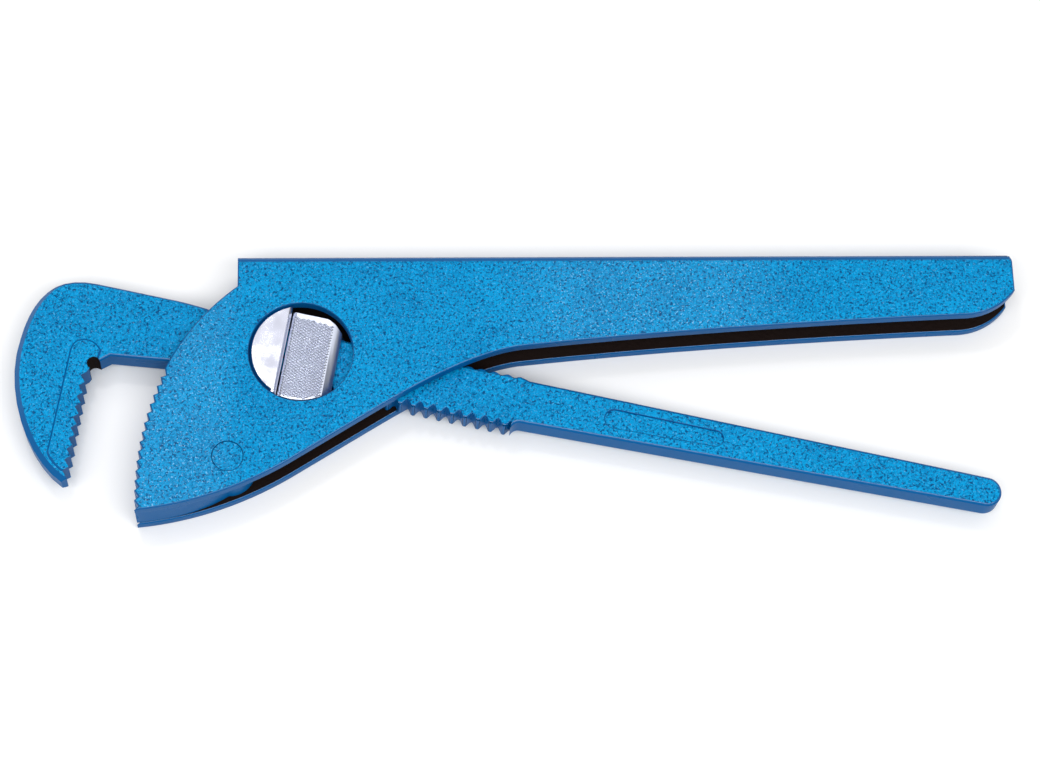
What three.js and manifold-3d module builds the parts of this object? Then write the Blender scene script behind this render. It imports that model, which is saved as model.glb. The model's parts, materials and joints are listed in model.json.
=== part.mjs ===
// One-handed pipe wrench, lying on its side: a folded steel upper handle with a toothed nose,
// and a forged hook jaw whose shank runs through the nose and out as the lower handle.
// A half-round drum turns in a round window of the upper handle and carries the shank;
// a thumb slide beside it rises into the shank's rack to hold the jaw opening.
// Millimetres. +X towards the handle ends, +Y towards the spine, +Z through the thickness.
// Profiles are drawn from the pivot centre; the finished tool is moved so that the middle
// of its footprint is the origin and its lower side face lies at Z = 0.
import * as THREE from 'three';
import { mergeVertices } from 'three/addons/utils/BufferGeometryUtils.js';
import Module from 'manifold-3d';

const wasm = await Module();
wasm.setup();

// ---- Driving dimensions: upper handle and nose ----
const FRAME_WIDTH = 18.4; // outside, across both side plates
const SHEET = 4; // pressed steel thickness
const BEND_RADIUS = 3; // outside of the fold along the spine
const BEND_INSIDE = 1; // inside of the same fold
const SPINE_HEIGHT = 33.3; // pivot to the top of the spine
const SPINE_FRONT = 20.2; // pivot to the front end of the spine
const SHOULDER_DROP = 10.6; // straight front end of the spine
const HANDLE_REACH = 229.2; // pivot to the free end of the upper handle
const HANDLE_LIP = 13; // height of the squared free end
const HANDLE_ROOT = { x: 72, y: 1.8 }; // where the lower edge leaves the belly
const HANDLE_TIP_EDGE = 11.8; // lower edge of the side plates near the free end
const HANDLE_TIP_RUN = 17.8; // from the free end back to where that edge starts to rise
const HANDLE_TIP_BEND = 6.8; // from the free end to where the rising edge bends most
const HANDLE_EDGE_BOW = { x: 131.7, y: 8.2 }; // the long lower edge bends towards this point
const HANDLE_END_ROUND = 3.4; // corner between the spine and the free end
const WINDOW_RADIUS = 16.6;
const NOSE_RADIUS = 99; // arc that carries the nose teeth
const NOSE_TOP = { x: -42.9, y: -5.4 };
const NOSE_TIP = { x: -51.6, y: -52.6 };
const NOSE_TEETH = 15;
const NOSE_TOOTH_DEPTH = 1.3;
const NOSE_TOOTH_LEAN = 0.62; // share of the pitch from each tip to the root below it
const BELLY_START = { x: -0.7, y: -34.5 };
const BELLY_END = { x: 25.5, y: -18.1 };
const BELLY_BEND = { x: 55.4, y: 0.5 }; // between the belly and the handle
const NOSE_BULGE = { x: -24.5, y: -49.8 }; // pulls the nose's lower edge outwards
const SHOULDER_REACH = 14.6; // the shoulder's curve bends at this far in front of the spine
const SHOULDER_FALL = 11.2; // and this far below its front end

// ---- Driving dimensions: nose block and its rivets ----
const RIVET_RADIUS = 4.9;
const RIVET_SEGMENTS = 20;
const RIVETS = [
  { name: 'nose_rivet_rear', x: -22.9, y: -35 },
  { name: 'nose_rivet_upper', x: -36.5, y: -30.4 },
  { name: 'nose_rivet_lower', x: -42.4, y: -42.6 },
];
const BLOCK_BOSS = 8.6; // radius of the block round the rear rivet
const BLOCK_INSET = 0.4; // block's lower face inside the plates' edges at the tip
const BLOCK_BULGE = { x: -34, y: -50.6 }; // bends its lower face alongside the plates' edges
const BLOCK_FIRST_TOOTH = 2; // its top leaves the first nose teeth to the plates alone
const BLOCK_TOP_INSET = 6; // end of its top face, in front of the rear rivet

// ---- Driving dimensions: hook jaw, shank and lower handle ----
const SHANK_SLOPE = THREE.MathUtils.degToRad(13);
const SHANK_TOP = 9; // above the shank line through the pivot, at the crests of the back notches
const HANDLE_TOP = 8.2; // upper edge of the lower handle, over the same line
const SHANK_BOTTOM = 8.75; // below it, at the tips of the rack
const RACK_PITCH = 4.2;
const RACK_DEPTH = 2.2;
const RACK_TEETH = 21;
const RACK_LAST_TIP = 67.7; // along the shank line, last tip towards the handle end
const NOTCH_DEPTH = 0.9; // shallow notches on the back of the shank
const SHANK_WEDGE = 27; // in front of this the shank thickens towards the hook
const SHANK_FLARE = 18; // length over which its back rises to the hook's
const HANDLE_STEP = 3; // the notches end and the lower handle starts within this length
const HOOK_REACH = 88.7; // pivot to the back of the hook, along the shank line
const HOOK_HEEL = 65; // pivot to the top of the hook's tooth row
const HOOK_TIP = { x: -62.3, n: -57 };
const HOOK_TIP_WIDTH = 1.6;
const HOOK_TIP_BLUNT = 1.2; // the tooth row stops this far above the tip
const HOOK_BACK = 10.4; // height of the hook's back over the shank line
const HOOK_CROWN = { start: 19.4, pull: 5.4, drop: 2 }; // bend from its back to its outer side
const HOOK_OUTERMOST = -13; // height at which the outer side is furthest from the pivot
const HOOK_SWEEP = { x: -1.1, n: -31 }; // pulls the outer side below that
const HOOK_TIP_PULL = { x: -14.5, n: 5.4 }; // and in towards the tip
const HOOK_DRAFT = 1.7; // forging draft along its outer side, from each face
const HOOK_DRAFT_FADE = 6; // it fades out at the bend, as if it started this far over the back
const HOOK_TEETH = 10;
const HOOK_TOOTH_DEPTH = 1.7;
const HOOK_TOOTH_LEAN = 0.4; // share of the pitch from each tip to the root below it
const HOOK_TOOTH_TOP = -20;
const HOOK_THROAT = { x: 5.8, n: -12.8 }; // slope from the tooth row to the shank
const PAD_RISE = 0.6; // toothed pad stands proud of each face of the hook, with sloped sides
// its outline, from the top of the tooth row
const PAD_START = { x: 2.7, n: 8.2 }; // beside the relief
const PAD_CREST = { x: -0.5, n: 11.8 }; // pull of its top
const PAD_SHOULDER = { x: -4.4, n: 10.6 };
const PAD_CORNER = { x: -7.2, n: 9.6 }; // pull of its outer corner
const PAD_SIDE = { x: -7.2, n: 6 }; // top of its straight outer side
const PAD_FOOT = { x: -5.6, n: -28.6 }; // bottom of that side
const PAD_HEEL = { x: -5, n: -31 }; // pull of its lower corner
const PAD_TOE = { x: 0.3, n: -34 };
const PAD_PAST = 2; // drawn past the tooth row, then trimmed to the hook's outline
const RELIEF_RADIUS = 2.1; // round relief at the root of the hook
const RELIEF = { x: 1.3, n: 3.3 }; // its centre, from the top of the tooth row
const HANDLE_LENGTH = 225.3; // pivot to the end of the lower handle
const HANDLE_END_RADIUS = 4.8;
const HANDLE_WAIST = { x: 72.6, n: -6.3 }; // lower edge just behind the rack
const EDGE_ROUND = 1; // forged edges
const RECESS = { start: 98.4, end: 136.4, rootHalf: 3.1, tipHalf: 2.6, depth: 0.8 };

// ---- Driving dimensions: drum and thumb slide ----
const GUIDE_LEAN = THREE.MathUtils.degToRad(2.4); // drum's flat, from square to the shank
const DRUM_FLAT = 5.3; // pivot to the drum's flat, towards the hook
const DRUM_CHAMFER = 0.9;
const SLIDE_RIGHT = 11.6; // pivot to the slide's outer side
const SLIDE_TOP = 12.9; // over the shank line, at rest
const SLIDE_TRAVEL = 2.3; // from clear of the rack to fully in mesh
const SLIDE_CHAMFER = 1.2; // of the thumb face beside the drum
const THUMB_BEVEL = { width: 2.5, depth: 2.4 }; // of the thumb face on the handle side
const SPRING_THICKNESS = 0.4;
const SPRING_LENGTH = 10;
const SPRING_BOW = 0.3; // rise of its ends over its middle
const SPRING_SIDE = 0.5; // margin inside each face of the shank
const SPRING_SHIFT = 1; // from the middle of the slide, away from the drum

// ---- Clearances ----
const RUNNING_GAP = 0.3; // beside and around pieces that slide or turn
const GUIDE_GAP = 0.5; // between the drum's flat and the slide
const DRUM_GAP = 0.15; // between the drum and its window
const RIVETED_GAP = 0.1; // between pieces that are clamped together
const FACE_RECESS = 0.3; // drum, slide and rivet faces lie this far inside the side faces
const SHANK_GAP = 0.8; // between each face of the shank and its side plate

const INNER_GAP = FRAME_WIDTH - 2 * SHEET;
const SHANK_THICKNESS = INNER_GAP - 2 * SHANK_GAP;
const MID = FRAME_WIDTH / 2;
const SLIDE_LEFT = GUIDE_GAP - DRUM_FLAT;
const RACK_ROOT = SHANK_BOTTOM - RACK_DEPTH;
const RACK_START = RACK_LAST_TIP - (RACK_TEETH - 0.5) * RACK_PITCH;
const RACK_FINISH = RACK_LAST_TIP + RACK_PITCH / 2;
const FAR = 400; // longer than anything that a cutter passes through
const ROUND_SEGMENTS = 48; // facets of the window, the drum and the slide

// ---- Solids ----
function solidOf(geometry) {
  const bare = geometry.clone();
  bare.deleteAttribute('normal');
  bare.deleteAttribute('uv');
  const merged = mergeVertices(bare, 1e-4);
  return new wasm.Manifold(new wasm.Mesh({
    numProp: 3,
    vertProperties: new Float32Array(merged.attributes.position.array),
    triVerts: new Uint32Array(merged.index.array),
  }));
}

function meshOf(name, solid, material) {
  const { numProp, vertProperties, triVerts } = solid.getMesh();
  const geometry = new THREE.BufferGeometry();
  geometry.setAttribute('position', new THREE.BufferAttribute(new Float32Array(vertProperties), numProp));
  geometry.setIndex(new THREE.BufferAttribute(new Uint32Array(triVerts), 1));
  geometry.computeVertexNormals();
  const mesh = new THREE.Mesh(geometry, material);
  mesh.name = name;
  return mesh;
}

// Extrudes an outline between two heights; a chamfer or round stays inside the outline,
// and the whole can be turned about the pivot.
function slab(shape, low, high, { edge = 0, steps = 1, curveSegments = 16, turn = 0 } = {}) {
  const geometry = new THREE.ExtrudeGeometry(shape, {
    depth: high - low - 2 * edge,
    bevelEnabled: edge > 0,
    bevelThickness: edge,
    bevelSize: edge,
    bevelOffset: -edge,
    bevelSegments: steps,
    curveSegments,
  });
  geometry.translate(0, 0, low + edge);
  geometry.rotateZ(turn);
  return solidOf(geometry);
}

function polygon(points) {
  return new THREE.Shape(points.map(([x, y]) => new THREE.Vector2(x, y)));
}

function disc(x, y, radius) {
  return new THREE.Shape().absarc(x, y, radius, 0, Math.PI * 2, false);
}

function cylinder(x, y, radius, low, high, segments = ROUND_SEGMENTS, edge = 0) {
  return slab(disc(x, y, radius), low, high, { curveSegments: segments, edge });
}

// A cutter that passes right through the tool's thickness.
function through(shape, curveSegments = 10) {
  return slab(shape, -1, FRAME_WIDTH + 1, { curveSegments });
}

// ---- Upper handle: folded plates and spine ----
const noseCentre = (() => {
  const chord = new THREE.Vector2(NOSE_TIP.x - NOSE_TOP.x, NOSE_TIP.y - NOSE_TOP.y);
  const middle = new THREE.Vector2(NOSE_TIP.x + NOSE_TOP.x, NOSE_TIP.y + NOSE_TOP.y).multiplyScalar(0.5);
  const rise = Math.sqrt(NOSE_RADIUS ** 2 - (chord.length() / 2) ** 2);
  const inward = new THREE.Vector2(-chord.y, chord.x).normalize();
  return middle.addScaledVector(inward, rise);
})();

// A point of the tooth arc at a share of the way from its top to the nose tip.
function nosePoint(share, depth = 0) {
  const start = Math.atan2(NOSE_TOP.y - noseCentre.y, NOSE_TOP.x - noseCentre.x);
  const end = Math.atan2(NOSE_TIP.y - noseCentre.y, NOSE_TIP.x - noseCentre.x);
  const sweep = THREE.MathUtils.euclideanModulo(end - start, Math.PI * 2);
  const angle = start + sweep * share;
  const radius = NOSE_RADIUS - depth;
  return [noseCentre.x + radius * Math.cos(angle), noseCentre.y + radius * Math.sin(angle)];
}

// Saw-shaped notches that leave the tips on the arc, from a share of the arc down to its end.
function noseTeeth(firstTooth = 0) {
  const points = [];
  for (let tooth = firstTooth; tooth < NOSE_TEETH; tooth += 1) {
    points.push(nosePoint(tooth / NOSE_TEETH));
    points.push(nosePoint((tooth + NOSE_TOOTH_LEAN) / NOSE_TEETH, NOSE_TOOTH_DEPTH));
  }
  points.push(nosePoint(1));
  return points;
}

function plateOutline() {
  const shoulder = SPINE_HEIGHT - SHOULDER_DROP;
  const endLow = SPINE_HEIGHT - HANDLE_LIP;
  const shape = new THREE.Shape();
  shape.moveTo(-SPINE_FRONT, SPINE_HEIGHT);
  shape.lineTo(-SPINE_FRONT, shoulder);
  shape.quadraticCurveTo(-SPINE_FRONT - SHOULDER_REACH, shoulder - SHOULDER_FALL, NOSE_TOP.x, NOSE_TOP.y);
  noseTeeth().forEach(([x, y]) => shape.lineTo(x, y));
  shape.quadraticCurveTo(NOSE_BULGE.x, NOSE_BULGE.y, BELLY_START.x, BELLY_START.y);
  shape.lineTo(BELLY_END.x, BELLY_END.y);
  shape.quadraticCurveTo(BELLY_BEND.x, BELLY_BEND.y, HANDLE_ROOT.x, HANDLE_ROOT.y);
  const edgeEnd = HANDLE_REACH - HANDLE_TIP_RUN;
  shape.quadraticCurveTo(HANDLE_EDGE_BOW.x, HANDLE_EDGE_BOW.y, edgeEnd, HANDLE_TIP_EDGE);
  shape.quadraticCurveTo(HANDLE_REACH - HANDLE_TIP_BEND, HANDLE_TIP_EDGE, HANDLE_REACH, endLow);
  shape.lineTo(HANDLE_REACH, SPINE_HEIGHT - HANDLE_END_ROUND);
  shape.quadraticCurveTo(HANDLE_REACH, SPINE_HEIGHT, HANDLE_REACH - HANDLE_END_ROUND, SPINE_HEIGHT);
  return shape;
}

// Cross-section of the fold, drawn with the width across and the height up.
function foldSection() {
  const inside = SPINE_HEIGHT - SHEET;
  const arcHeight = inside - BEND_INSIDE;
  const bendHeight = SPINE_HEIGHT - BEND_RADIUS;
  const section = new THREE.Shape();
  section.moveTo(0, -FAR);
  section.lineTo(SHEET, -FAR);
  section.absarc(SHEET + BEND_INSIDE, arcHeight, BEND_INSIDE, Math.PI, Math.PI / 2, true);
  section.absarc(FRAME_WIDTH - SHEET - BEND_INSIDE, arcHeight, BEND_INSIDE, Math.PI / 2, 0, true);
  section.lineTo(FRAME_WIDTH - SHEET, -FAR);
  section.lineTo(FRAME_WIDTH, -FAR);
  section.absarc(FRAME_WIDTH - BEND_RADIUS, bendHeight, BEND_RADIUS, 0, Math.PI / 2, false);
  section.absarc(BEND_RADIUS, bendHeight, BEND_RADIUS, Math.PI / 2, Math.PI, false);
  return section;
}

function rivetHole({ x, y }) {
  return through(disc(x, y, RIVET_RADIUS + RIVETED_GAP), RIVET_SEGMENTS);
}

function frameShell(material) {
  const outline = slab(plateOutline(), 0, FRAME_WIDTH);
  const length = { depth: 2 * FAR, bevelEnabled: false, curveSegments: 8 };
  const fold = new THREE.ExtrudeGeometry(foldSection(), length);
  fold.translate(-MID, 0, -FAR);
  fold.rotateY(Math.PI / 2); // the fold's length along X, its width through Z
  fold.translate(0, 0, MID);
  let shell = outline.intersect(solidOf(fold));
  shell = shell.subtract(through(disc(0, 0, WINDOW_RADIUS), ROUND_SEGMENTS));
  RIVETS.forEach((rivet) => {
    shell = shell.subtract(rivetHole(rivet));
  });
  return meshOf('frame_shell', shell, material);
}

// ---- Nose block: fills the nose between the plates and carries the same teeth ----
function noseBlock(material) {
  const rear = RIVETS[0];
  const shape = polygon(noseTeeth(BLOCK_FIRST_TOOTH).slice(0, -1));
  const [tipX, tipY] = nosePoint(1);
  shape.lineTo(tipX, tipY + BLOCK_INSET);
  const bossEnd = rear.y - BLOCK_BOSS;
  shape.quadraticCurveTo(BLOCK_BULGE.x, BLOCK_BULGE.y, rear.x, bossEnd);
  shape.absarc(rear.x, rear.y, BLOCK_BOSS, -Math.PI / 2, Math.PI / 2, false);
  const [, topY] = nosePoint(BLOCK_FIRST_TOOTH / NOSE_TEETH);
  shape.lineTo(rear.x - BLOCK_TOP_INSET, topY);
  let block = slab(shape, SHEET + RIVETED_GAP, FRAME_WIDTH - SHEET - RIVETED_GAP);
  RIVETS.forEach((rivet) => {
    block = block.subtract(rivetHole(rivet));
  });
  return meshOf('nose_block', block, material);
}

// Flush rivet through both plates and the block.
function noseRivet({ name, x, y }, material) {
  const inset = FACE_RECESS / 2;
  return meshOf(name, cylinder(x, y, RIVET_RADIUS, inset, FRAME_WIDTH - inset, RIVET_SEGMENTS), material);
}

// ---- Hook jaw, drawn along the shank line: x along it, n square to it ----
function rackWave(x) {
  return RACK_DEPTH / 2 * Math.cos(2 * Math.PI * (x - RACK_LAST_TIP) / RACK_PITCH);
}

// The rack's own surface; tips reach SHANK_BOTTOM, roots RACK_ROOT.
function rackSurface(x) {
  return -(SHANK_BOTTOM + RACK_ROOT) / 2 - rackWave(x);
}

function rackPoints(from, to, height) {
  const stepsPerTooth = 8;
  const count = Math.round((to - from) / RACK_PITCH * stepsPerTooth);
  const points = [];
  for (let step = 0; step <= count; step += 1) {
    const x = from + (to - from) * step / count;
    points.push([x, height(x)]);
  }
  return points;
}

function handleLowerEdge(x) {
  const end = { x: HANDLE_LENGTH - HANDLE_END_RADIUS, n: HANDLE_TOP - 2 * HANDLE_END_RADIUS };
  const share = (x - HANDLE_WAIST.x) / (end.x - HANDLE_WAIST.x);
  return THREE.MathUtils.lerp(HANDLE_WAIST.n, end.n, share);
}

// The hook's outer side, from the top of its bend round to the tip.
function hookBack(shape) {
  const outer = -HOOK_REACH;
  shape.bezierCurveTo(outer + HOOK_CROWN.pull, HOOK_BACK, outer, HOOK_CROWN.drop, outer, HOOK_OUTERMOST);
  const endX = HOOK_TIP.x - HOOK_TIP_WIDTH;
  const pull = { x: HOOK_TIP.x + HOOK_TIP_PULL.x, n: HOOK_TIP.n + HOOK_TIP_PULL.n };
  shape.bezierCurveTo(outer + HOOK_SWEEP.x, HOOK_SWEEP.n, pull.x, pull.n, endX, HOOK_TIP.n);
}

function hookOutline() {
  const endX = HANDLE_LENGTH - HANDLE_END_RADIUS;
  const endN = HANDLE_TOP - HANDLE_END_RADIUS;
  const flareEnd = -SHANK_WEDGE - SHANK_FLARE;
  const shape = new THREE.Shape();
  shape.moveTo(endX, HANDLE_TOP);
  shape.lineTo(RACK_FINISH + HANDLE_STEP, HANDLE_TOP);
  shape.lineTo(RACK_FINISH, SHANK_TOP);
  shape.lineTo(-SHANK_WEDGE, SHANK_TOP);
  shape.quadraticCurveTo((flareEnd - SHANK_WEDGE) / 2, HOOK_BACK, flareEnd, HOOK_BACK);
  shape.lineTo(HOOK_CROWN.start - HOOK_REACH, HOOK_BACK);
  hookBack(shape);
  shape.lineTo(HOOK_TIP.x, HOOK_TIP.n + HOOK_TIP_BLUNT);
  shape.lineTo(-HOOK_HEEL, HOOK_TOOTH_TOP);
  shape.lineTo(-HOOK_HEEL + RELIEF.x, HOOK_TOOTH_TOP + RELIEF.n);
  shape.lineTo(-HOOK_HEEL + HOOK_THROAT.x, HOOK_THROAT.n);
  shape.lineTo(-SHANK_WEDGE, -SHANK_BOTTOM);
  shape.lineTo(RACK_FINISH, -SHANK_BOTTOM);
  shape.quadraticCurveTo(RACK_FINISH + 1, HANDLE_WAIST.n, HANDLE_WAIST.x, HANDLE_WAIST.n);
  shape.lineTo(endX, handleLowerEdge(endX));
  shape.absarc(endX, endN, HANDLE_END_RADIUS, -Math.PI / 2, Math.PI / 2, false);
  return shape;
}

// Slopes the outer side of the hook in towards each face, and leaves the rest of the jaw alone.
function hookDraft(low, high) {
  const shape = new THREE.Shape();
  shape.moveTo(FAR, FAR);
  shape.lineTo(HOOK_CROWN.start - HOOK_REACH, HOOK_BACK + HOOK_DRAFT_FADE);
  hookBack(shape);
  shape.lineTo(FAR, HOOK_TIP.n);
  return slab(shape, low, high, { edge: HOOK_DRAFT });
}

// Everything below the rack's wave, over the toothed length.
function rackCutter() {
  const wave = rackPoints(RACK_START, RACK_FINISH, rackSurface);
  const clear = -SHANK_BOTTOM - 1;
  return through(polygon([[RACK_START, clear], ...wave, [RACK_FINISH, clear]]));
}

// Shallow notches on the back of the shank, one over each tooth of the rack.
function backNotchCutter() {
  const surface = (x) => SHANK_TOP - NOTCH_DEPTH / 2 - NOTCH_DEPTH / RACK_DEPTH * rackWave(x);
  const wave = rackPoints(RACK_START, RACK_FINISH, surface);
  const clear = SHANK_TOP + 1;
  return through(polygon([...wave, [RACK_FINISH, clear], [RACK_START, clear]]));
}

// Tooth row of the hook: a line from the heel to the tip, with notches cut back from it.
function hookToothCutter() {
  const top = new THREE.Vector2(-HOOK_HEEL, HOOK_TOOTH_TOP);
  const along = new THREE.Vector2(HOOK_TIP.x, HOOK_TIP.n + HOOK_TIP_BLUNT).sub(top);
  const back = new THREE.Vector2(along.y, -along.x).normalize();
  const at = (share, depth) => [
    top.x + along.x * share + back.x * depth,
    top.y + along.y * share + back.y * depth,
  ];
  const clear = -HOOK_TOOTH_DEPTH;
  const points = [at(0, clear)];
  for (let tooth = 0; tooth < HOOK_TEETH; tooth += 1) {
    points.push(at(tooth / HOOK_TEETH, 0));
    points.push(at((tooth + HOOK_TOOTH_LEAN) / HOOK_TEETH, HOOK_TOOTH_DEPTH));
  }
  points.push(at(1, 0), at(1, clear));
  return through(polygon(points));
}

function hookPad(low, high) {
  const at = ({ x, n }) => [x - HOOK_HEEL, HOOK_TOOTH_TOP + n];
  const shape = new THREE.Shape();
  shape.moveTo(-HOOK_HEEL + PAD_PAST, HOOK_TOOTH_TOP);
  shape.lineTo(...at(PAD_START));
  shape.quadraticCurveTo(...at(PAD_CREST), ...at(PAD_SHOULDER));
  shape.quadraticCurveTo(...at(PAD_CORNER), ...at(PAD_SIDE));
  shape.lineTo(...at(PAD_FOOT));
  shape.quadraticCurveTo(...at(PAD_HEEL), ...at(PAD_TOE));
  shape.lineTo(HOOK_TIP.x + PAD_PAST, HOOK_TOOTH_TOP + PAD_TOE.n);
  return slab(shape, low, high, { edge: PAD_RISE }).intersect(slab(hookOutline(), low, high));
}

// Shallow oblong recess with round ends in each face of the lower handle.
function handleRecess() {
  const middle = (x) => (HANDLE_TOP + handleLowerEdge(x)) / 2;
  const rootX = RECESS.start + RECESS.rootHalf;
  const tipX = RECESS.end - RECESS.tipHalf;
  const shape = new THREE.Shape();
  shape.absarc(tipX, middle(tipX), RECESS.tipHalf, -Math.PI / 2, Math.PI / 2, false);
  shape.absarc(rootX, middle(rootX), RECESS.rootHalf, Math.PI / 2, Math.PI * 1.5, false);
  return shape;
}

function hookJaw(material) {
  const low = MID - SHANK_THICKNESS / 2;
  const high = MID + SHANK_THICKNESS / 2;
  const recess = handleRecess();
  const jaw = slab(hookOutline(), low, high, { edge: EDGE_ROUND, steps: 3, curveSegments: 10 })
    .intersect(hookDraft(low, high))
    .add(hookPad(low - PAD_RISE, high + PAD_RISE))
    .subtract(rackCutter())
    .subtract(backNotchCutter())
    .subtract(hookToothCutter())
    .subtract(through(disc(-HOOK_HEEL + RELIEF.x, HOOK_TOOTH_TOP + RELIEF.n, RELIEF_RADIUS)))
    .subtract(slab(recess, high - RECESS.depth, high + 1))
    .subtract(slab(recess, low - 1, low + RECESS.depth));
  return meshOf('hook_jaw', jaw, material);
}

// ---- Drum and slide, drawn along the guide: n along the drum's flat, x square to it ----
// The shank's line crosses this frame at the guide's lean, so its slot is cut turned.
const SHANK_TURN = { turn: -GUIDE_LEAN };
const SLOT_LOW = MID - SHANK_THICKNESS / 2 - RUNNING_GAP;
const SLOT_HIGH = MID + SHANK_THICKNESS / 2 + RUNNING_GAP;
const SLOT_TOP = SHANK_TOP + RUNNING_GAP;
const FACE_LOW = FACE_RECESS;
const FACE_HIGH = FRAME_WIDTH - FACE_RECESS;

function box(left, bottom, right, top) {
  return polygon([[left, bottom], [right, bottom], [right, top], [left, top]]);
}

// Chamfered disc, cut off by a chamfered flat on the side towards the handles.
function pivotDrum(material) {
  const side = 2 * WINDOW_RADIUS;
  const flat = box(-side, -side, -DRUM_FLAT, side);
  const slot = box(-side, -SHANK_BOTTOM - RUNNING_GAP, side, SLOT_TOP);
  const drum = cylinder(0, 0, WINDOW_RADIUS - DRUM_GAP, FACE_LOW, FACE_HIGH, ROUND_SEGMENTS, DRUM_CHAMFER)
    .intersect(slab(flat, FACE_LOW, FACE_HIGH, { edge: DRUM_CHAMFER }))
    .subtract(slab(slot, SLOT_LOW, SLOT_HIGH, SHANK_TURN));
  return meshOf('pivot_drum', drum, material);
}

// The slide fills the rest of the window as far as it can both at rest and raised.
function slideBody() {
  const radius = WINDOW_RADIUS - RUNNING_GAP;
  return slab(box(SLIDE_LEFT, -FAR, SLIDE_RIGHT, FAR), FACE_LOW, FACE_HIGH)
    .intersect(slab(box(-FAR, -FAR, FAR, SLIDE_TOP), FACE_LOW, FACE_HIGH, SHANK_TURN))
    .intersect(through(disc(0, 0, radius), ROUND_SEGMENTS))
    .intersect(through(disc(0, -SLIDE_TRAVEL, radius), ROUND_SEGMENTS));
}

// Wedge taken off one long edge of the slide; run is towards the slide's middle.
function bevelCutter(side, run, face, drop) {
  const inner = side - run;
  const section = polygon([[side, face - drop], [inner, face - drop], [inner, face], [side + run, face]]);
  const geometry = new THREE.ExtrudeGeometry(section, { depth: FAR, bevelEnabled: false });
  // section X stays X, section Y becomes Z and the extrusion runs along -Y
  geometry.translate(0, 0, -FAR / 2);
  geometry.rotateX(Math.PI / 2);
  return solidOf(geometry);
}

// Space for the shank, floored by the slide's own teeth: the rack's wave, lowered by the
// travel and a gap, so that it meets the rack evenly once the slide is raised.
function slideRackSlot() {
  const drop = RUNNING_GAP + SLIDE_TRAVEL;
  const from = SLIDE_LEFT - RACK_PITCH;
  const to = SLIDE_RIGHT + RACK_PITCH;
  const wave = rackPoints(from, to, (x) => rackSurface(x) - drop);
  return slab(polygon([...wave, [to, SLOT_TOP], [from, SLOT_TOP]]), SLOT_LOW, SLOT_HIGH, SHANK_TURN);
}

// ---- Leaf spring: bowed strip in a pocket of the slide's upper bridge, over the shank ----
const SPRING_WIDTH = SHANK_THICKNESS - 2 * SPRING_SIDE;
const springFloor = SLOT_TOP + SPRING_BOW;
const springMiddle = (SLIDE_LEFT + SLIDE_RIGHT) / 2 + SPRING_SHIFT;

function springPocket() {
  const half = SPRING_LENGTH / 2 + RUNNING_GAP;
  const top = springFloor + SPRING_THICKNESS + RUNNING_GAP;
  const pocket = box(springMiddle - half, SLOT_TOP - 1, springMiddle + half, top);
  const halfWidth = SPRING_WIDTH / 2 + RUNNING_GAP;
  return slab(pocket, MID - halfWidth, MID + halfWidth, SHANK_TURN);
}

function thumbSlide(material) {
  const { width, depth } = THUMB_BEVEL;
  const slide = slideBody()
    .subtract(bevelCutter(SLIDE_RIGHT, -width, FACE_HIGH, depth))
    .subtract(bevelCutter(SLIDE_RIGHT, -width, FACE_LOW, -depth))
    .subtract(bevelCutter(SLIDE_LEFT, SLIDE_CHAMFER, FACE_HIGH, SLIDE_CHAMFER))
    .subtract(bevelCutter(SLIDE_LEFT, SLIDE_CHAMFER, FACE_LOW, -SLIDE_CHAMFER))
    .subtract(slideRackSlot())
    .subtract(springPocket());
  return meshOf('thumb_slide', slide, material);
}

function slideSpring(material) {
  const left = springMiddle - SPRING_LENGTH / 2;
  const right = springMiddle + SPRING_LENGTH / 2;
  const crest = springFloor - 2 * SPRING_BOW;
  const shape = new THREE.Shape();
  shape.moveTo(left, springFloor);
  shape.quadraticCurveTo(springMiddle, crest, right, springFloor);
  shape.lineTo(right, springFloor + SPRING_THICKNESS);
  shape.quadraticCurveTo(springMiddle, crest + SPRING_THICKNESS, left, springFloor + SPRING_THICKNESS);
  const spring = slab(shape, MID - SPRING_WIDTH / 2, MID + SPRING_WIDTH / 2, SHANK_TURN);
  return meshOf('slide_spring', spring, material);
}

// ---- Materials ----
function enamel(name) {
  return new THREE.MeshStandardMaterial({ name, color: 0x128fd0, roughness: 0.35, metalness: 0.2 });
}

function steel(name, color, roughness) {
  return new THREE.MeshStandardMaterial({ name, color, roughness, metalness: 1 });
}

// ---- Assembly ----
const tool = new THREE.Group();
tool.add(frameShell(enamel('frame_enamel')));
tool.add(noseBlock(enamel('block_enamel')));
RIVETS.forEach((rivet) => tool.add(noseRivet(rivet, enamel(`${rivet.name}_enamel`))));

const shankLine = new THREE.Group();
shankLine.rotation.z = -SHANK_SLOPE;
shankLine.add(hookJaw(enamel('hook_enamel')));
tool.add(shankLine);

const guideLine = new THREE.Group();
guideLine.rotation.z = GUIDE_LEAN - SHANK_SLOPE;
guideLine.add(pivotDrum(steel('drum_steel', 0xd9dbe2, 0.18)));
guideLine.add(thumbSlide(steel('slide_steel', 0xc3c8d2, 0.35)));
guideLine.add(slideSpring(steel('spring_steel', 0x4a4c52, 0.4)));
tool.add(guideLine);

const wrench = new THREE.Group();
wrench.add(tool);
wrench.updateMatrixWorld(true);
const footprint = new THREE.Box3().setFromObject(wrench, true);
const middle = footprint.getCenter(new THREE.Vector3());
tool.position.set(-middle.x, -middle.y, -footprint.min.z);

export default wrench;
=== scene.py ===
import json
from math import hypot, radians

import bmesh
import bpy
from mathutils import Matrix, Vector


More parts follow.
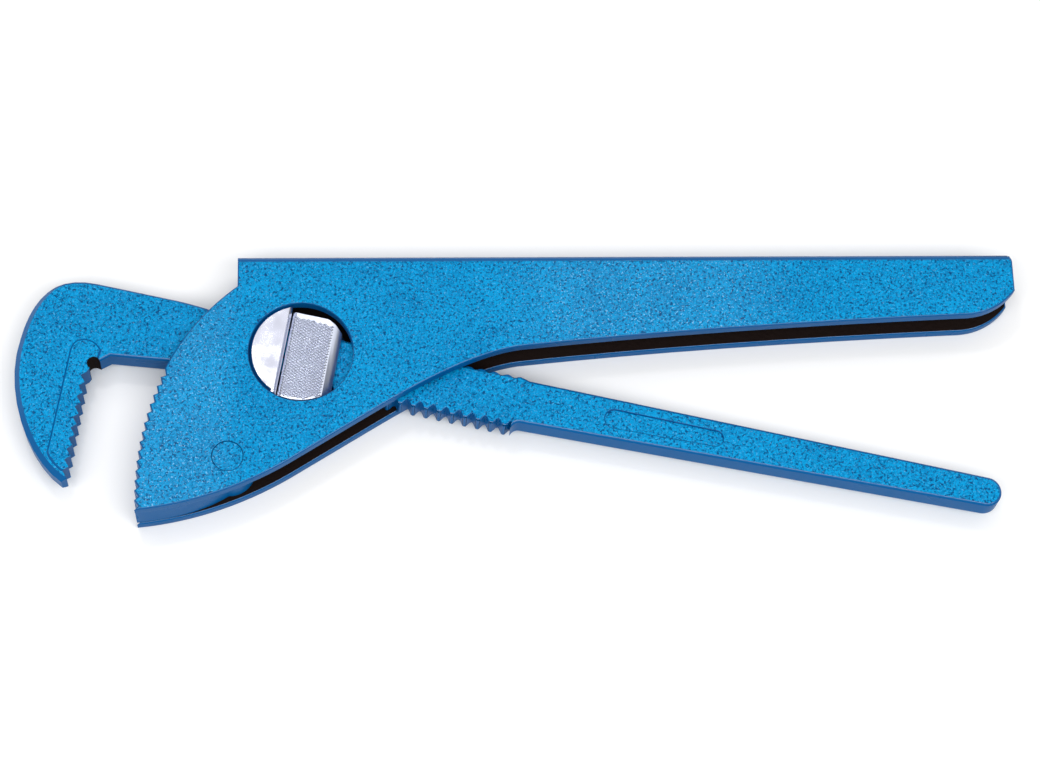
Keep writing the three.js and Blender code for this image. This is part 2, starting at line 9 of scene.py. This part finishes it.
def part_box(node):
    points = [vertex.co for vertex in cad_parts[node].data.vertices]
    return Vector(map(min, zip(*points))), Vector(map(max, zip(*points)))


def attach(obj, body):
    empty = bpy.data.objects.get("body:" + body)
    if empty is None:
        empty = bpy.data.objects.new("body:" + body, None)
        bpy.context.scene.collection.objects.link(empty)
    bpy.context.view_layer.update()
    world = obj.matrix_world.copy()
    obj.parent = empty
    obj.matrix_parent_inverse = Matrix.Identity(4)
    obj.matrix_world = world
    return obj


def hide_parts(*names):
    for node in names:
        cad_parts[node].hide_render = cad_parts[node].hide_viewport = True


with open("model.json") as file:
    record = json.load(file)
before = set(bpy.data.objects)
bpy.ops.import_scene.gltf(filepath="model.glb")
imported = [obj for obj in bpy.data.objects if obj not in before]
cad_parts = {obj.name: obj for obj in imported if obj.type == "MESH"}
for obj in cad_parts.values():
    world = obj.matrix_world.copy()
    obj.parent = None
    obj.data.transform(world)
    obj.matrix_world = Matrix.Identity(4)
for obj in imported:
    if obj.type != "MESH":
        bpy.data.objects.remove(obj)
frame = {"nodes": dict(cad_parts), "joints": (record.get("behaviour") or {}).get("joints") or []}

bpy.context.view_layer.update()
bpy.context.evaluated_depsgraph_get().update()
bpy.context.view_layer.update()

# ---- Upper handle ----
# One pressing of 4 mm sheet steel, folded along the spine so that its two side plates run
# parallel, with a round window through both. Dipped in blue hammertone enamel outside;
# between the plates and under the fold the colour is a painted shade, brown-black.
PIVOT = Vector(next(j for j in frame["joints"] if j["name"] == "drum_pivot")["pos_m"])
HANDLE_LOW, HANDLE_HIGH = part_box("frame_shell")
SHEET = 0.004
WINDOW_RADIUS = 0.0166
RIVETS = ["nose_rivet_rear", "nose_rivet_upper", "nose_rivet_lower"]
RIVET_RADIUS = 0.0049
SHARP = radians(50)
CREASE = radians(36)
WELD = 2e-6
FLAT_ENOUGH = radians(0.3)
SLIVER = 6e-5
ROUNDING_STEPS = 3


def srgb(red, green, blue):
    """Paint-chart numbers, 0 to 255, as a linear colour."""
    shares = (red / 255, green / 255, blue / 255)
    linear = [s / 12.92 if s <= 0.04045 else ((s + 0.055) / 1.055) ** 2.4 for s in shares]
    return (*linear, 1.0)


def middle_of(node):
    low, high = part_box(node)
    return (low + high) / 2


def everywhere(point):
    return True


def rims(mesh, near):
    """Sharp outward edges that run round a face, where near says yes; corner edges through
    the thickness are left crisp."""
    found = []
    for edge in mesh.edges:
        if not edge.is_manifold or edge.calc_face_angle_signed() < SHARP:
            continue
        a, b = (vert.co for vert in edge.verts)
        if abs((b - a).normalized().z) < 0.5 and near((a + b) / 2):
            found.append(edge)
    return found


def dressed(node, name, material, roundings):
    """A welded copy of a CAD node with its rims rounded, which stands for that node."""
    mesh = bmesh.new()
    mesh.from_mesh(frame["nodes"][node].data)
    bmesh.ops.remove_doubles(mesh, verts=mesh.verts, dist=WELD)
    bmesh.ops.dissolve_limit(mesh, angle_limit=FLAT_ENOUGH, verts=mesh.verts, edges=mesh.edges)
    bmesh.ops.dissolve_degenerate(mesh, dist=SLIVER, edges=mesh.edges)
    for width, near in roundings:
        bmesh.ops.bevel(mesh, geom=rims(mesh, near), offset=width, offset_type="OFFSET",
                        segments=ROUNDING_STEPS, profile=0.5, affect="EDGES",
                        clamp_overlap=False, material=-1)
    piece = piece_of(mesh, name, material)
    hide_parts(node)
    return piece


def piece_of(mesh, name, material):
    """Ends a bmesh as a smooth-shaded object whose flats stay flat."""
    for edge in mesh.edges:
        edge.smooth = edge.is_manifold and edge.calc_face_angle() < CREASE
    data = bpy.data.meshes.new(name)
    mesh.to_mesh(data)
    mesh.free()
    data.polygons.foreach_set("use_smooth", [True] * len(data.polygons))
    piece = bpy.data.objects.new(name, data)
    piece.data.materials.append(material)
    bpy.context.scene.collection.objects.link(piece)
    shading = piece.modifiers.new("shading", "WEIGHTED_NORMAL")
    shading.weight = 80
    shading.keep_sharp = True
    return piece


class Finish:
    """A material's node tree, with one short call for each node."""

    def __init__(self, name):
        self.material = bpy.data.materials.new(name)
        self.material.use_nodes = True
        self.tree = self.material.node_tree
        self.shader = self.tree.nodes["Principled BSDF"]

    def put(self, node, sockets):
        for name, value in sockets.items():
            socket = node.inputs[name]
            if isinstance(value, bpy.types.NodeSocket):
                self.tree.links.new(value, socket)
            else:
                socket.default_value = value
        return node

    def node(self, kind, sockets=None, **settings):
        made = self.tree.nodes.new("ShaderNode" + kind)
        for name, value in settings.items():
            setattr(made, name, value)
        return self.put(made, sockets or {})

    def maths(self, operation, *values):
        sockets = dict(enumerate(values))
        return self.node("Math", sockets, operation=operation).outputs[0]

    def vector(self, operation, sockets):
        return self.node("VectorMath", sockets, operation=operation).outputs[0]

    def product(self, *values):
        result = values[0]
        for value in values[1:]:
            result = self.maths("MULTIPLY", result, value)
        return result

    def blend(self, share, first, second):
        mix = self.node("Mix", {0: share, 6: first, 7: second}, data_type="RGBA")
        return mix.outputs[2]

    def ramp(self, value, low, high, to_low=0.0, to_high=1.0):
        sockets = {0: value, 1: low, 2: high, 3: to_low, 4: to_high}
        return self.node("MapRange", sockets, interpolation_type="SMOOTHSTEP").outputs[0]

    def place(self):
        return self.node("TexCoord").outputs["Object"]

    def noise(self, place, scale, detail=2.0, roughness=0.5):
        sockets = {"Vector": place, "Scale": scale, "Detail": detail, "Roughness": roughness}
        return self.node("TexNoise", sockets).outputs["Fac"]

    def cells(self, place, scale):
        return self.node("TexVoronoi", {"Vector": place, "Scale": scale}).outputs["Distance"]

    def shaken(self, place, scale, reach):
        """The place, pushed about by a coarse noise so that a pattern loses its regularity."""
        noise = self.node("TexNoise", {"Vector": place, "Scale": scale, "Detail": 1.0})
        grey = (0.5, 0.5, 0.5)
        centred = self.vector("SUBTRACT", {0: noise.outputs["Color"], 1: grey})
        pushed = self.vector("SCALE", {0: centred, "Scale": reach})
        return self.vector("ADD", {0: place, 1: pushed})

    def bump(self, height, distance, strength):
        sockets = {"Height": height, "Distance": distance, "Strength": strength}
        return self.node("Bump", sockets).outputs[0]


ENAMEL = srgb(0, 122, 178)
ENAMEL_LIGHT = srgb(0, 146, 204)
ENAMEL_DEEP = srgb(0, 70, 120)
# Painted shade: the deeper blue of sides and edges.
ENAMEL_SIDE_SHADE = srgb(0, 88, 148)
# Pale flake colour; in the sheen zones it also serves as a painted sheen.
FLAKE_AND_SHEEN = srgb(120, 186, 226)
# Painted shade, brown-black, for the channel between the plates and the relief hole's wall.
SHADE_BROWN_BLACK = srgb(30, 22, 20)
RELIEF_RADIUS = 0.0021
FLAT_FACE, SHOULDER = (0.95, 0.995), (0.6, 0.8)
CELLS_GROW = (PIVOT.x + 0.030, PIVOT.x + 0.110)
# Where the painted sheen lies: the nose, and the middle of the upper handle.
NOSE_SHEEN = (PIVOT.x - 0.032, PIVOT.x - 0.014)
SHEEN_STARTS = (PIVOT.x + 0.05, PIVOT.x + 0.1)
SHEEN_ENDS = (PIVOT.x + 0.13, PIVOT.x + 0.17)
FLECKS, SPECKS, FLAKES, CELLS, CLOUDS = 1500.0, 1350.0, 1750.0, 640.0, 55.0
HAMMER_DEPTH, HAMMER_STRENGTH = 0.00026, 0.9
SHAKE_FINENESS, SHAKE_REACH = 900.0, 0.0010


def shaded_channel(paint, y, z):
    """Painted shade over the space between the two plates and under the fold."""
    above = paint.ramp(z, SHEET - 0.00006, SHEET - 0.00001)
    far_plate = HANDLE_HIGH.z - SHEET
    below = paint.ramp(z, far_plate + 0.00001, far_plate + 0.00006, 1.0, 0.0)
    fold = HANDLE_HIGH.y - SHEET
    under = paint.ramp(y, fold + 0.0002, fold + 0.0003, 1.0, 0.0)
    return paint.product(above, below, under)


def shaded_hole_wall(paint, x, y, flat, hole):
    """Painted shade on the wall of a small round hole."""
    in_plan = paint.node("CombineXYZ", {0: x, 1: y, 2: 0.0}).outputs[0]
    away = paint.node("VectorMath", {0: in_plan, 1: hole}, operation="DISTANCE").outputs["Value"]
    close = paint.ramp(away, RELIEF_RADIUS, RELIEF_RADIUS + 0.0003, 1.0, 0.0)
    return paint.product(close, paint.maths("SUBTRACT", 1.0, flat))


def hammertone(name, channel=False, hole=None):
    """Blue hammertone enamel: a fine fleck with deep specks, which runs together into bigger,
    glossier cells along the upper handle. More pale flakes on the nose and along the middle of
    the upper handle are a painted sheen, and the coat is glossier there. The sides and edges
    stay smooth, and their deeper blue is painted shade."""
    paint = Finish(name)
    place = paint.place()
    x, y, z = paint.node("SeparateXYZ", {0: place}).outputs
    normal = paint.node("TexCoord").outputs["Normal"]
    facing = paint.maths("ABSOLUTE", paint.node("SeparateXYZ", {0: normal}).outputs[2])
    flat = paint.ramp(facing, *FLAT_FACE)
    turning = paint.ramp(facing, *FLAT_FACE, 1.0, 0.0)
    shoulder = paint.product(paint.ramp(facing, *SHOULDER), turning)

    loose = paint.shaken(place, SHAKE_FINENESS, SHAKE_REACH)
    fine = paint.noise(loose, FLECKS, 2.0, 0.55)
    grown = paint.product(paint.ramp(x, *CELLS_GROW), 1.0 if channel else 0.3)
    cells = paint.node("Mix", {0: grown, 2: fine, 3: paint.cells(loose, CELLS)}).outputs[0]
    cloud = paint.noise(place, CLOUDS, 2.0)
    # Painted sheen on the nose and the middle of the upper handle; none on the hook.
    mid_handle_sheen = paint.product(paint.ramp(x, *SHEEN_STARTS), paint.ramp(x, *SHEEN_ENDS, 1.0, 0.0))
    sheen_zones = paint.maths("ADD", paint.ramp(x, *NOSE_SHEEN, 1.0, 0.0), mid_handle_sheen)
    sheen_mask = paint.product(sheen_zones, 0.0 if hole else 1.0)

    light = paint.ramp(paint.maths("ADD", fine, paint.product(cloud, 0.3)), 0.56, 0.74)
    dark = paint.ramp(paint.noise(loose, SPECKS, 3.0, 0.6), 0.53, 0.63)
    flake = paint.ramp(paint.noise(loose, FLAKES, 2.0, 0.6), 0.60, 0.70)
    colour = paint.blend(light, ENAMEL, ENAMEL_LIGHT)
    colour = paint.blend(dark, colour, ENAMEL_DEEP)
    # Pale flakes here and there, and many more in the sheen zones as a painted sheen.
    colour = paint.blend(paint.product(flake, paint.ramp(sheen_mask, 0.0, 1.0, 0.3, 0.9)), colour, FLAKE_AND_SHEEN)
    # Painted shade: sides and edges take the deeper blue.
    colour = paint.blend(flat, ENAMEL_SIDE_SHADE, colour)
    height = paint.product(paint.maths("SUBTRACT", cells, paint.product(dark, 0.3)), flat)
    rough = paint.ramp(cloud, 0.3, 0.7, 0.26, 0.34)
    gloss = paint.product(flat, paint.ramp(sheen_mask, 0.0, 1.0, 0.07, 0.3))
    coat = paint.maths("ADD", gloss, paint.product(shoulder, 0.9))

    # Painted shade, brown-black: the channel between the plates on the handle, the relief hole's
    # wall on the hook.
    if channel or hole:
        shaded_share = shaded_channel(paint, y, z) if channel else shaded_hole_wall(paint, x, y, flat, hole)
        colour = paint.blend(shaded_share, colour, SHADE_BROWN_BLACK)
        rough = paint.node("Mix", {0: shaded_share, 2: rough, 3: 0.8}).outputs[0]
        coat = paint.product(coat, paint.maths("SUBTRACT", 1.0, shaded_share))
    hammered = paint.bump(height, HAMMER_DEPTH, HAMMER_STRENGTH)
    paint.put(paint.shader, {
        "Base Color": colour,
        "Roughness": rough,
        "Metallic": 0.02,
        "Specular IOR Level": 0.04,
        "Normal": hammered,
        "Coat Weight": coat,
        "Coat Roughness": 0.14,
        "Coat Normal": hammered,
    })
    return paint.material


NEAR = 0.0006


def near_rivets(point):
    reach = RIVET_RADIUS + NEAR
    return any((point.xy - middle_of(rivet).xy).length < reach for rivet in RIVETS)


def near_window(point):
    return (point.xy - PIVOT.xy).length < WINDOW_RADIUS + NEAR


handle_enamel = hammertone("handle_enamel", channel=True)
upper_handle = dressed("frame_shell", "upper_handle", handle_enamel, [
    (0.00055, lambda point: not near_rivets(point) and not near_window(point)),
    (0.00030, near_window),
    (0.00008, near_rivets),
])
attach(upper_handle, "frame")

# ---- Nose block and its rivets ----
# A steel block between the side plates, with teeth to match theirs, held by three rivets
# that are ground flush and painted over. Only the rear one still prints through clearly.
nose_enamel = hammertone("nose_enamel")
nose_filler = dressed("nose_block", "nose_filler", nose_enamel, [
    (0.0003, lambda point: not near_rivets(point)),
])
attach(nose_filler, "frame")
for rivet in RIVETS:
    name = rivet.replace("nose_rivet", "flush_rivet")
    head = dressed(rivet, name, nose_enamel, [(0.00012, everywhere)])
    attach(head, "frame")

# A thin skin of enamel closes over the other two, so that only a faint arc of each shows.
SKIN_RADIUS, SKIN_THICKNESS = 0.00525, 0.00008
SKIN_SHIFTS = {"nose_rivet_upper": (0.00015, -0.00025), "nose_rivet_lower": (0.00028, 0.00005)}
for rivet, (shift_x, shift_y) in SKIN_SHIFTS.items():
    middle = middle_of(rivet)
    for side, face in (("above", HANDLE_HIGH.z), ("below", HANDLE_LOW.z)):
        mesh = bmesh.new()
        spot = Matrix.Translation((middle.x + shift_x, middle.y + shift_y, face))
        bmesh.ops.create_cone(mesh, cap_ends=True, segments=48, radius1=SKIN_RADIUS,
                              radius2=SKIN_RADIUS, depth=SKIN_THICKNESS, matrix=spot)
        skin = piece_of(mesh, rivet.replace("nose_rivet", "enamel_skin") + "_" + side, nose_enamel)
        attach(skin, "frame")

# ---- Hook jaw ----
# One drop forging: hook, shank with rack, and lower handle. Its flash is ground off and its
# edges are rounded before it goes into the same enamel. The wall of the relief hole in the
# hook's corner is darkened with painted shade.
HOOK_BITE = PIVOT.x - 0.050


def behind_the_teeth(point):
    """The bite of the hook keeps its milled edges; everything behind it is rounded."""
    return point.x > HOOK_BITE


RELIEF = (PIVOT.x - 0.06582, PIVOT.y - 0.00194, 0.0)
hook_enamel = hammertone("hook_enamel", hole=RELIEF)
hook = dressed("hook_jaw", "forged_hook", hook_enamel, [(0.00028, behind_the_teeth)])
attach(hook, "jaw")

# ---- Pivot drum ----
# Half-round of hardened steel with polished faces. It turns in the window of the upper
# handle and the shank runs through its slot.
DRUM_STEEL = srgb(196, 198, 212)
STEEL_HAZE = srgb(176, 178, 190)
# Painted shade for the grooves between the knurl's diamonds.
STEEL_GROOVE_SHADE = srgb(168, 172, 190)
GUIDE = radians(10.6)
GRAIN_FINENESS, GRAIN_DEPTH = 6000.0, 0.00001


def bright_steel(name, colour, roughness, grain, foot=None):
    """Bare steel with the fine lines that the last grinding leaves across the piece. Where a
    foot is given, the colour lower than that, counted from the middle outwards, is darkened as
    painted shade."""
    steel = Finish(name)
    place = steel.place()
    drawn_out = {"Vector": place, "Rotation": (0, 0, GUIDE), "Scale": (1.0, 0.08, 1.0)}
    lines = steel.noise(steel.node("Mapping", drawn_out).outputs[0], GRAIN_FINENESS, 2.0)
    haze = steel.noise(place, 240.0, 3.0)
    tint = steel.blend(steel.ramp(haze, 0.35, 0.7, 0.0, 0.12), colour, STEEL_HAZE)
    if foot:
        depth = steel.node("SeparateXYZ", {0: place}).outputs[2]
        middle = (HANDLE_LOW.z + HANDLE_HIGH.z) / 2
        height = steel.maths("ABSOLUTE", steel.maths("SUBTRACT", depth, middle))
        # Painted shade at the foot of the knurl's diamonds.
        tint = steel.blend(steel.ramp(height, foot, foot + 0.00025), STEEL_GROOVE_SHADE, tint)
    steel.put(steel.shader, {
        "Base Color": tint,
        "Metallic": 1.0,
        "Roughness": steel.ramp(haze, 0.3, 0.7, roughness, roughness + 0.08),
        "Normal": steel.bump(lines, GRAIN_DEPTH, grain),
    })
    return steel.material


drum_steel = bright_steel("drum_steel", DRUM_STEEL, 0.08, 0.2)
drum = dressed("pivot_drum", "polished_drum", drum_steel, [(0.00015, everywhere)])
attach(drum, "drum")

# ---- Thumb slide ----
# Milled steel key in the other half of the window. Both thumb faces are rolled with a fine
# diamond knurl, and the long edge towards the handles is bevelled smooth.
SLIDE_STEEL = srgb(206, 212, 228)
slide_steel = bright_steel("slide_steel", SLIDE_STEEL, 0.3, 0.5)
slide_low, slide_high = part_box("thumb_slide")
knurl_foot = (slide_high.z - slide_low.z) / 2
# The knurl's diamonds are darkened towards their foot as painted shade.
knurl_steel = bright_steel("knurl_steel", SLIDE_STEEL, 0.26, 0.3, knurl_foot)
slide = dressed("thumb_slide", "milled_slide", slide_steel, [(0.0002, everywhere)])
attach(slide, "slide")

KNURL_ACROSS, KNURL_ALONG, KNURL_RISE = 0.00078, 0.00047, 0.00027
KNURL_LEFT, KNURL_RIGHT, KNURL_TOP = -0.0035, 0.0083, 0.0112
KNURL_RADIUS, KNURL_SINK = 0.0158, 0.00002
KNURL_TOP_SLOPE = 0.1
DIAMOND_FOOT, DIAMOND_TOP = 1.0, 0.25


def diamond_knurl(name, face, outwards):
    """Rows of small flat-topped diamonds over one thumb face."""
    mesh = bmesh.new()
    spot = Matrix.Translation(PIVOT.xy.to_3d() + Vector((0, 0, face)))
    stand = spot @ Matrix.Rotation(-GUIDE, 4, "Z")
    if outwards < 0:
        stand = stand @ Matrix.Diagonal((1, 1, -1, 1))
    rows = int(2 * KNURL_RADIUS / KNURL_ALONG)
    for row in range(rows + 1):
        along = -KNURL_RADIUS + row * KNURL_ALONG
        across = KNURL_LEFT + (row % 2) * KNURL_ACROSS
        while across <= KNURL_RIGHT:
            in_window = hypot(across, along) < KNURL_RADIUS
            if in_window and along < KNURL_TOP - KNURL_TOP_SLOPE * across:
                point = Matrix.Translation((across, along, KNURL_RISE / 2 - KNURL_SINK))
                spread = Matrix.Diagonal((KNURL_ACROSS, KNURL_ALONG, 1, 1))
                bmesh.ops.create_cone(mesh, cap_ends=True, segments=4, radius1=DIAMOND_FOOT,
                                      radius2=DIAMOND_TOP, depth=KNURL_RISE,
                                      matrix=stand @ point @ spread)
            across += 2 * KNURL_ACROSS
    if outwards < 0:
        bmesh.ops.recalc_face_normals(mesh, faces=mesh.faces)
    knurl = piece_of(mesh, name, knurl_steel)
    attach(knurl, "slide")


diamond_knurl("knurl_upper", slide_high.z, 1)
diamond_knurl("knurl_lower", slide_low.z, -1)

# ---- Slide spring ----
# Bowed strip of blued spring steel, stamped and rolled, which sits loose in the slide's
# pocket over the shank and presses the two apart.
SPRING_BLUE = srgb(70, 74, 92)
spring_steel = bright_steel("spring_steel", SPRING_BLUE, 0.3, 0.3)
spring = dressed("slide_spring", "spring_strip", spring_steel, [])
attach(spring, "slide")

# ---- Table, light and camera ----
# The wrench lies on its side on a pale table. A wide softbox hangs over it, a long one
# stands in front, and a small one puts a shine on the nose and the drum.
scene = bpy.context.scene
scene.view_settings.view_transform = "Standard"

mesh = bmesh.new()
bmesh.ops.create_grid(mesh, x_segments=1, y_segments=1, size=6.0)
table_finish = Finish("table")
table_finish.put(table_finish.shader, {
    "Base Color": (0.9, 0.9, 0.9, 1.0),
    "Roughness": 0.9,
    "Specular IOR Level": 0.1,
})
table = piece_of(mesh, "table", table_finish.material)

world = bpy.data.worlds.new("studio")
world.use_nodes = True
sky = world.node_tree.nodes["Background"]
sky.inputs["Color"].default_value = (1.0, 1.0, 1.0, 1.0)
sky.inputs["Strength"].default_value = 0.35
scene.world = world


def softbox(name, place, aim, width, height, power):
    light = bpy.data.lights.new(name, "AREA")
    light.shape = "RECTANGLE"
    light.size, light.size_y = width, height
    light.energy = power
    lamp = bpy.data.objects.new(name, light)
    lamp.location = place
    lamp.rotation_mode = "QUATERNION"
    lamp.rotation_quaternion = (Vector(aim) - Vector(place)).to_track_quat("-Z", "Y")
    scene.collection.objects.link(lamp)


TABLE_MIDDLE = (0.0, 0.0, 0.0)
WINDOW_MIDDLE = (PIVOT.x, PIVOT.y, 0.0)
softbox("ceiling", (0.0, 0.5, 1.3), TABLE_MIDDLE, 2.4, 1.2, 7.6)
softbox("front_light", (0.0, -0.55, 1.15), TABLE_MIDDLE, 2.0, 0.5, 16.0)
softbox("nose_light", (PIVOT.x - 0.16, PIVOT.y + 0.395, 1.2), WINDOW_MIDDLE, 0.12, 0.12, 1.3)

CAMERA_TILT, CAMERA_PAN, CAMERA_ROLL = radians(21), radians(-1.459), radians(-0.25)
camera = bpy.data.cameras.new("camera")
camera.sensor_width = 36.0
camera.lens = 103.3
camera.shift_x = 0.1
camera.clip_start, camera.clip_end = 0.05, 20.0
viewer = bpy.data.objects.new("camera", camera)
viewer.matrix_world = (
    Matrix.Translation((PIVOT.x + 0.01236, PIVOT.y - 0.3505, 0.8969))
    @ Matrix.Rotation(CAMERA_TILT, 4, "X")
    @ Matrix.Rotation(CAMERA_PAN, 4, "Y")
    @ Matrix.Rotation(CAMERA_ROLL, 4, "Z")
)
scene.collection.objects.link(viewer)
scene.camera = viewer
